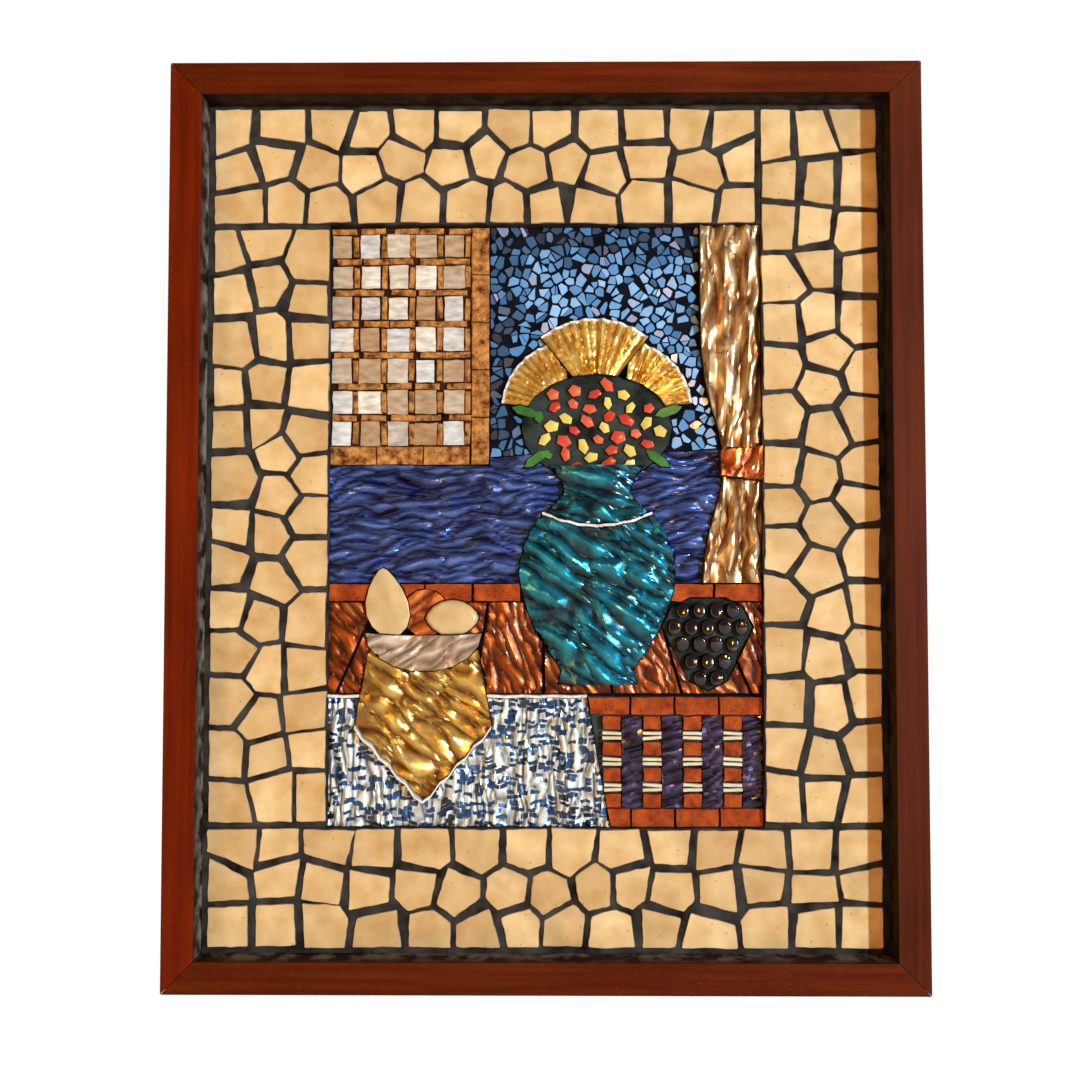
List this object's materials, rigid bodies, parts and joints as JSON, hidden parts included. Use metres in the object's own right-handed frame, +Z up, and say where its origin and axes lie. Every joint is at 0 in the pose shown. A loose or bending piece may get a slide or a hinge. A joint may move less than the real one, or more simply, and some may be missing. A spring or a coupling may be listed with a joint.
{
  "type": "mosaic panel",
  "caption": "Framed mosaic wall panel: deep mitred wooden frame, raised border of broken tiles and a sunk still life of glass, shell, tile and crumpled foil.",
  "frame": {"origin": "middle of the top rail's flat back face, where the panel hangs", "axes": "+Z up, +Y out of the back towards the wall, the picture faces -Y, +X to the viewer's right"},
  "size_m": [0.666, 0.045, 0.818],
  "materials": {
    "frame_wood": "dark red-brown stain under satin varnish, fine dark grain, small scratches",
    "board_wood": "plain unfinished board",
    "border_tile": "satin cream-tan glaze with faint mottling, in dark grout",
    "bed_grout": "rough charcoal grout",
    "blue_glass": "small glossy blue shards, light to slate, in black grout",
    "shell": "pearly shell panes between marbled orange-brown strips",
    "blue_foil": "deep blue foil wrinkled level, bright glints",
    "brick_tile": "matt brick red with fine dark specks",
    "plank_foil": "ribbed amber-brown foil",
    "teal_foil": "crumpled glossy teal foil with dark creases",
    "piping": "white crinkled edging",
    "flower_glass": "red and yellow drops and green leaves in dark grout",
    "gold_foil": "crumpled and pleated gold foil",
    "cream_foil": "creased cream-white foil",
    "fruit_ceramic": "smooth tan glaze",
    "black_glass": "glossy black ovals in grey-green grout",
    "champagne_foil": "champagne-tan foil in upright folds",
    "orange_foil": "creased orange foil",
    "patterned_foil": "white foil with short blue dashes, in upright pleats"
  },
  "bodies": {
    "root": {"frame_top_rail": "frame_wood", "frame_bottom_rail": "frame_wood", "frame_right_stile": "frame_wood", "frame_left_stile": "frame_wood", "backing_board": "board_wood", "border_tiles_left": "border_tile", "border_tiles_right": "border_tile", "border_tiles_top": "border_tile", "border_tiles_bottom": "border_tile", "picture_bed": "bed_grout", "grape_bunch": "black_glass", "fruit_bowl": "cream_foil", "pear": "fruit_ceramic", "lemon": "fruit_ceramic", "orange": "orange_foil", "napkin_piping": "piping", "gold_napkin": "gold_foil", "vase_piping": "piping", "vase_body": "teal_foil", "vase_neck": "teal_foil", "bouquet": "flower_glass", "middle_palm": "gold_foil", "left_palm": "gold_foil", "right_palm": "gold_foil", "curtain_tie": "orange_foil", "curtain_top": "champagne_foil", "curtain_skirt": "champagne_foil", "tablecloth_piping": "piping", "tablecloth_piping_2": "piping", "tablecloth": "patterned_foil", "lower_wall": "brick_tile", "sill_brick_1": "brick_tile", "sill_brick_2": "brick_tile", "sill_brick_3": "brick_tile", "sill_brick_4": "brick_tile", "sill_brick_8": "brick_tile", "sill_brick_9": "brick_tile", "table_plank_1": "plank_foil", "table_plank_2": "plank_foil", "table_plank_3": "plank_foil", "table_plank_4": "plank_foil", "table_plank_5": "plank_foil", "table_plank_6": "plank_foil", "table_plank_7": "plank_foil", "table_plank_8": "plank_foil", "shell_shutter": "shell", "sea_left": "blue_foil", "sea_right": "blue_foil", "sky_glass": "blue_glass"}
  },
  "joints": []
}
